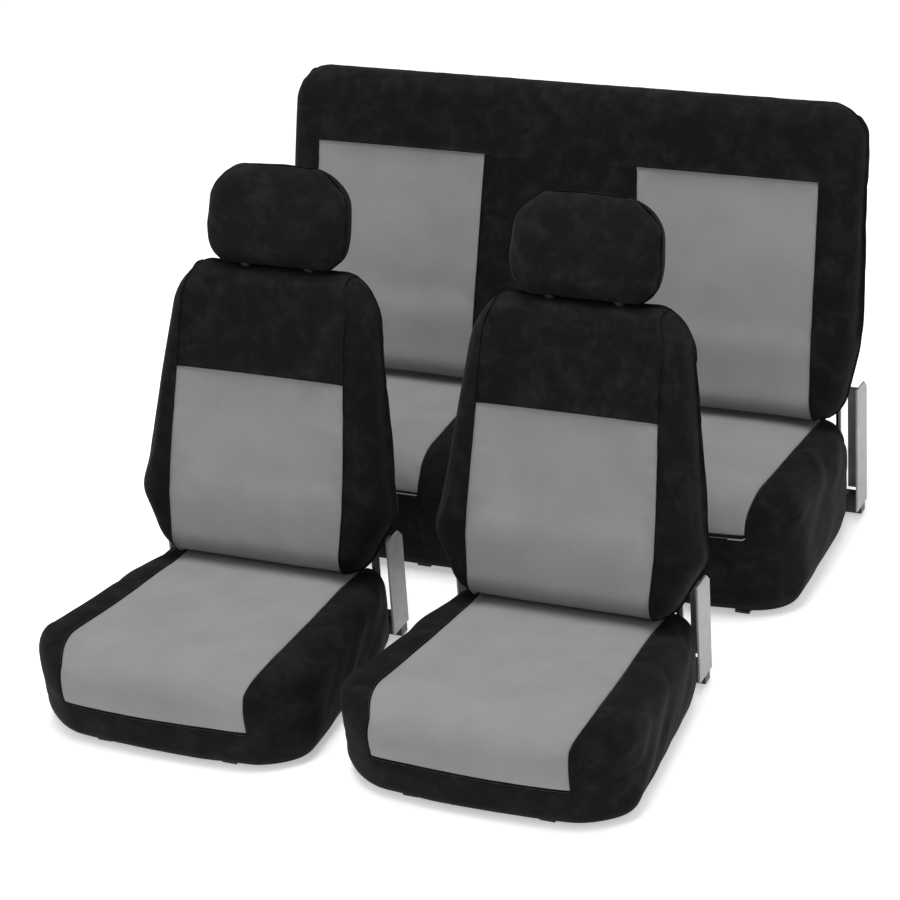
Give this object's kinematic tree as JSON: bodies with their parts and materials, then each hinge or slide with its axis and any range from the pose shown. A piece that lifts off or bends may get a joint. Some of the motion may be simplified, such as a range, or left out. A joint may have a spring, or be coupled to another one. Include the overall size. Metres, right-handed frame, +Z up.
{
  "type": "car seat cover set",
  "caption": "Padded two-tone fabric covers on reclining front seats with sliding head restraints and on a wide rear bench with a fold-forward back.",
  "frame": {"origin": "on the floor at the middle of the whole set's footprint", "axes": "the seats face -Y, +X is the viewer's right from the front, +Z up"},
  "size_m": [1.3058, 1.4567, 0.9391],
  "materials": {
    "grey_insert_knit": "fine flat knit, matte",
    "black_velour": "short-pile velour, soft sheen",
    "black_backing_knit": "plain knit, matte",
    "black_elastic": "ribbed elastic",
    "strap_webbing": "woven strap with plastic slides",
    "seat_foam": "moulded foam",
    "light_grey_moulding": "satin light grey",
    "black_painted_steel": "satin black paint",
    "galvanised_steel": "dull zinc",
    "bright_steel": "polished",
    "black_plastic": "moulded"
  },
  "bodies": {
    "seat_bases": {"left_base_frame": "black_painted_steel", "left_seat_pan": "galvanised_steel", "left_cushion_core": "seat_foam", "left_cushion_hem_elastic": "black_elastic", "left_cushion_straps": "strap_webbing", "left_hinge_brackets": "bright_steel", "left_hinge_covers": "light_grey_moulding", "left_cushion_cover_insert": "grey_insert_knit", "left_cushion_cover_sides": "black_velour", "right_base_frame": "black_painted_steel", "right_seat_pan": "galvanised_steel", "right_cushion_core": "seat_foam", "right_cushion_hem_elastic": "black_elastic", "right_cushion_straps": "strap_webbing", "right_hinge_brackets": "bright_steel", "right_hinge_covers": "light_grey_moulding", "right_cushion_cover_insert": "grey_insert_knit", "right_cushion_cover_sides": "black_velour", "rear_bench_base_frame": "black_painted_steel", "rear_bench_seat_pan": "galvanised_steel", "rear_bench_cushion_core": "seat_foam", "rear_bench_cushion_hem_elastic": "black_elastic", "rear_bench_cushion_straps": "strap_webbing", "rear_bench_hinge_brackets": "bright_steel", "rear_bench_hinge_covers": "light_grey_moulding", "rear_bench_cushion_cover_inserts": "grey_insert_knit", "rear_bench_cushion_cover_sides": "black_velour"},
    "left_backrest": {"left_backrest_frame": "black_painted_steel", "left_backrest_core": "seat_foam", "left_backrest_closure": "black_elastic", "left_headrest_guides": "black_plastic", "left_backrest_cover_insert": "grey_insert_knit", "left_backrest_cover_yoke": "black_velour", "left_backrest_cover_wings": "black_velour", "left_backrest_cover_rear": "black_backing_knit"},
    "left_headrest": {"left_headrest_posts": "bright_steel", "left_headrest_core": "seat_foam", "left_headrest_cover_front": "black_velour", "left_headrest_cover_rear": "black_velour", "left_headrest_closure": "black_elastic"},
    "right_backrest": {"right_backrest_frame": "black_painted_steel", "right_backrest_core": "seat_foam", "right_backrest_closure": "black_elastic", "right_headrest_guides": "black_plastic", "right_backrest_cover_insert": "grey_insert_knit", "right_backrest_cover_yoke": "black_velour", "right_backrest_cover_wings": "black_velour", "right_backrest_cover_rear": "black_backing_knit"},
    "right_headrest": {"right_headrest_posts": "bright_steel", "right_headrest_core": "seat_foam", "right_headrest_cover_front": "black_velour", "right_headrest_cover_rear": "black_velour", "right_headrest_closure": "black_elastic"},
    "bench_backrest": {"rear_bench_backrest_frame": "black_painted_steel", "rear_bench_backrest_core": "seat_foam", "rear_bench_backrest_closure": "black_elastic", "rear_bench_backrest_cover_inserts": "grey_insert_knit", "rear_bench_backrest_cover_surround": "black_velour", "rear_bench_backrest_cover_rear": "black_backing_knit"}
  },
  "joints": [
    {"name": "left_recline", "type": "hinge", "parent": "seat_bases", "child": "left_backrest", "pos_m": [-0.3225, -0.22137, 0.24203], "axis": [-1, 0, 0], "range_deg": [-20, 15]},
    {"name": "left_headrest_slide", "type": "slide", "parent": "left_backrest", "child": "left_headrest", "axis": [0, 0.2756, 0.9613], "range_m": [0, 0.06]},
    {"name": "right_recline", "type": "hinge", "parent": "seat_bases", "child": "right_backrest", "pos_m": [0.3225, -0.22137, 0.24203], "axis": [-1, 0, 0], "range_deg": [-20, 15]},
    {"name": "right_headrest_slide", "type": "slide", "parent": "right_backrest", "child": "right_headrest", "axis": [0, 0.2756, 0.9613], "range_m": [0, 0.06]},
    {"name": "bench_fold", "type": "hinge", "parent": "seat_bases", "child": "bench_backrest", "pos_m": [0, 0.56463, 0.31515], "axis": [1, 0, 0], "range_deg": [0, 50]}
  ]
}
